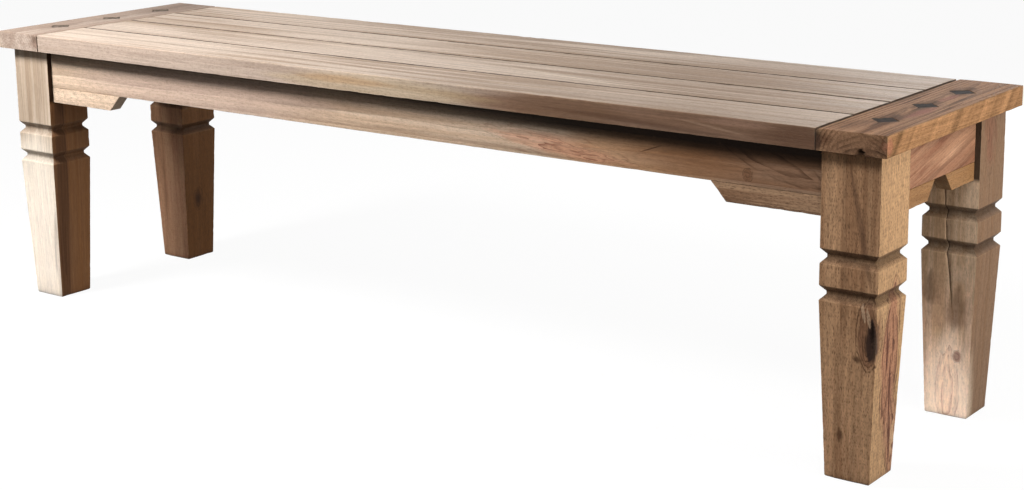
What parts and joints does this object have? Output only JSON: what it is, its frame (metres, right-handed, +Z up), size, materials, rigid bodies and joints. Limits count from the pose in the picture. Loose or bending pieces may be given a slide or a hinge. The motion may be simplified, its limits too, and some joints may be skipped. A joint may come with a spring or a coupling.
{
  "type": "dining bench",
  "caption": "Rustic solid-wood dining bench: plank seat with breadboard ends and iron diamonds, bracketed aprons, grooved and tapered square legs.",
  "frame": {"origin": "on the floor under the middle of the bench", "axes": "+X along the bench to the right as seen from the front, +Y from front to back, +Z up"},
  "size_m": [1.6, 0.41, 0.45],
  "materials": {
    "top_wood": "brushed open-grain solid wood, waxed matt",
    "leg_wood": "brushed open-grain solid wood, waxed matt",
    "apron_wood": "brushed open-grain solid wood, waxed matt",
    "hidden_wood": "sawn and sanded, unwaxed",
    "blackened_iron": "hammered, blackened, waxed",
    "zinc_steel": "zinc plated"
  },
  "bodies": {
    "root": {"bearer_left": "hidden_wood", "bearer_middle": "hidden_wood", "bearer_right": "hidden_wood", "bearer_screws": "zinc_steel", "bolt_nuts": "zinc_steel", "bolt_washers": "zinc_steel", "breadboard_left": "top_wood", "breadboard_right": "top_wood", "corner_block_back_left": "hidden_wood", "corner_block_back_right": "hidden_wood", "corner_block_front_left": "hidden_wood", "corner_block_front_right": "hidden_wood", "corner_block_screws": "zinc_steel", "end_apron_left": "apron_wood", "end_apron_right": "apron_wood", "end_bracket_left_back": "apron_wood", "end_bracket_left_front": "apron_wood", "end_bracket_right_back": "apron_wood", "end_bracket_right_front": "apron_wood", "hanger_bolts": "zinc_steel", "iron_diamond_left_back": "blackened_iron", "iron_diamond_left_front": "blackened_iron", "iron_diamond_left_middle": "blackened_iron", "iron_diamond_right_back": "blackened_iron", "iron_diamond_right_front": "blackened_iron", "iron_diamond_right_middle": "blackened_iron", "leg_back_left": "leg_wood", "leg_back_right": "leg_wood", "leg_front_left": "leg_wood", "leg_front_right": "leg_wood", "long_apron_back": "apron_wood", "long_apron_front": "apron_wood", "long_bracket_back_left": "apron_wood", "long_bracket_back_right": "apron_wood", "long_bracket_front_left": "apron_wood", "long_bracket_front_right": "apron_wood", "top_board_back": "top_wood", "top_board_front": "top_wood", "top_board_mid_back": "top_wood", "top_board_mid_front": "top_wood"}
  },
  "joints": []
}
